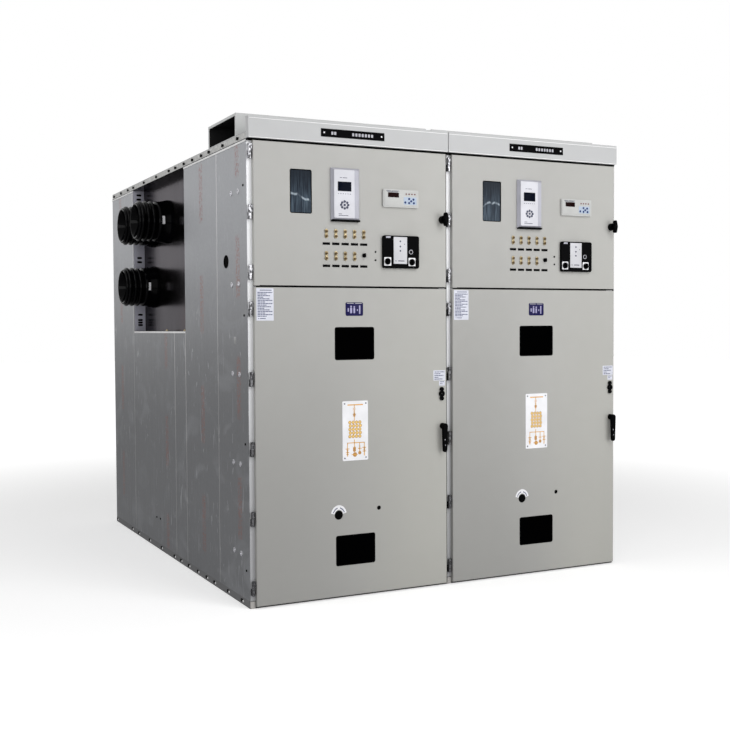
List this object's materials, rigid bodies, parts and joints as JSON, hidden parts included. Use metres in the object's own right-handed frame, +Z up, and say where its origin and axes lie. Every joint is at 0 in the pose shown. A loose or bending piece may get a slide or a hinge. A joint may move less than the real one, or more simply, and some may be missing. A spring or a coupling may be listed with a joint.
{
  "type": "metal-enclosed switchgear",
  "caption": "Metal-enclosed switchgear: floor-standing cubicles with hinged doors, relay panels, ribbed bus bushings in the open side and a wiring duct on the roof.",
  "frame": {"origin": "on the floor, at the centre of the two cubicles' footprint", "axes": "+X to the right along the front, +Y from the doors into the depth, +Z up"},
  "size_m": [2.545, 2.877, 2.602],
  "materials": {
    "base": "satin",
    "steel": "matt aluminium-zinc coat",
    "frame_light": "satin",
    "rail": "zinc coat",
    "door": "fine-texture powder coat",
    "fascia": "powder coat",
    "bright_tray": "bright cold-rolled",
    "epoxy": "gloss cast resin",
    "glass": "clear",
    "zinc": "bright zinc",
    "black_plastic": "satin",
    "black_metal": "satin",
    "relay_grey": "satin",
    "controller_grey": "satin",
    "brass": "plated",
    "white_plate": "printed sheet"
  },
  "bodies": {
    "enclosure": {"base_frames": "base", "floor_plates": "steel", "corner_posts": "frame_light", "left_wall_front": "steel", "left_wall_mid": "steel", "left_wall_rear": "steel", "inner_wall_front": "steel", "inner_wall_mid": "steel", "inner_wall_rear": "steel", "right_wall": "steel", "side_rails": "rail", "cross_rails": "frame_light", "roof_plates": "steel", "rear_covers": "door", "partitions": "steel", "bus_tray_1": "bright_tray", "bus_tray_2": "bright_tray", "bus_bushings_1": "epoxy", "bus_bushings_2": "epoxy", "wiring_duct_1": "fascia", "wiring_duct_2": "fascia", "upper_door_1": "door", "upper_door_2": "door", "upper_panes": "glass", "hinge_brackets": "zinc", "relays": "relay_grey", "controllers": "controller_grey", "indicators": "black_plastic", "link_plates": "brass", "fascias": "fascia", "nameplates": "black_plastic"},
    "door_1": {"lower_door_1": "door", "lower_panes_1": "glass", "mimic_plate_1": "white_plate", "lock_plates_1": "black_plastic", "hinge_leaves_1": "zinc"},
    "lever_1": {"lever_1": "black_metal"},
    "lock_knob_1": {"lock_knob_1": "black_plastic"},
    "door_2": {"lower_door_2": "door", "lower_panes_2": "glass", "mimic_plate_2": "white_plate", "lock_plates_2": "black_plastic", "hinge_leaves_2": "zinc"},
    "lever_2": {"lever_2": "black_metal"},
    "lock_knob_2": {"lock_knob_2": "black_plastic"}
  },
  "joints": [
    {"name": "lower_door_1", "type": "hinge", "parent": "enclosure", "child": "door_1", "pos_m": [-1.185, -1.412, 0.85], "axis": [0, 0, -1], "range_deg": [0, 95]},
    {"name": "lever_turn_1", "type": "hinge", "parent": "door_1", "child": "lever_1", "pos_m": [-0.04, -1.425, 0.909], "axis": [0, 1, 0], "range_deg": [0, 90]},
    {"name": "lock_turn_1", "type": "hinge", "parent": "enclosure", "child": "lock_knob_1", "pos_m": [-0.038, -1.425, 2.066], "axis": [0, 1, 0], "range_deg": [0, 90]},
    {"name": "lower_door_2", "type": "hinge", "parent": "enclosure", "child": "door_2", "pos_m": [0.015, -1.412, 0.85], "axis": [0, 0, -1], "range_deg": [0, 95]},
    {"name": "lever_turn_2", "type": "hinge", "parent": "door_2", "child": "lever_2", "pos_m": [1.16, -1.425, 0.909], "axis": [0, 1, 0], "range_deg": [0, 90]},
    {"name": "lock_turn_2", "type": "hinge", "parent": "enclosure", "child": "lock_knob_2", "pos_m": [1.162, -1.425, 2.066], "axis": [0, 1, 0], "range_deg": [0, 90]}
  ]
}
